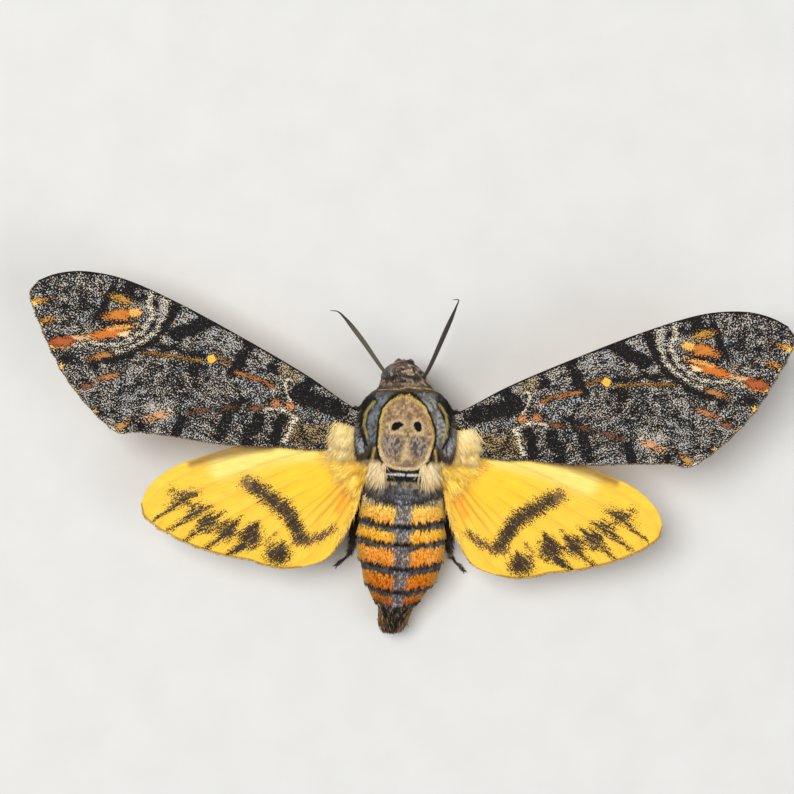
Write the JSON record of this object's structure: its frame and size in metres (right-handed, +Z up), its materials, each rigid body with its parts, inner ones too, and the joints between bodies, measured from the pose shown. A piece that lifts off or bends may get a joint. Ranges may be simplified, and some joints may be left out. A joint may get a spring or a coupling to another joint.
{
  "type": "death's head hawkmoth",
  "caption": "Life-size hawkmoth with its wings spread, set as a specimen: furred thorax with a skull-like mark, banded abdomen, grey-black forewings and golden hindwings.",
  "frame": {"origin": "on the resting surface, at the middle of the small flat on which the abdomen's underside rests", "axes": "+X to the moth's right, along the span of its wings; +Y towards the head; +Z up, out of its back"},
  "size_m": [0.1135, 0.0534, 0.0167],
  "materials": {
    "forewing": "matte",
    "hindwing": "matte",
    "thorax_fur": "matte",
    "collar_fur": "matte",
    "head_fur": "matte",
    "abdomen_fur": "matte",
    "tail_fur": "matte",
    "eye": "gloss",
    "antenna": "matte",
    "leg": "satin",
    "tongue": "satin"
  },
  "bodies": {
    "root": {"forewing_left": "forewing", "hindwing_left": "hindwing", "fore_leg_left": "leg", "mid_leg_left": "leg", "hind_leg_left": "leg", "shoulder_flap_left": "collar_fur", "eye_left": "eye", "antenna_left": "antenna", "palp_left": "head_fur", "forewing_right": "forewing", "hindwing_right": "hindwing", "fore_leg_right": "leg", "mid_leg_right": "leg", "hind_leg_right": "leg", "shoulder_flap_right": "collar_fur", "eye_right": "eye", "antenna_right": "antenna", "palp_right": "head_fur", "thorax": "thorax_fur", "collar": "collar_fur", "head": "head_fur", "tongue": "tongue", "abdomen": "abdomen_fur", "tail_tuft": "tail_fur"}
  },
  "joints": []
}
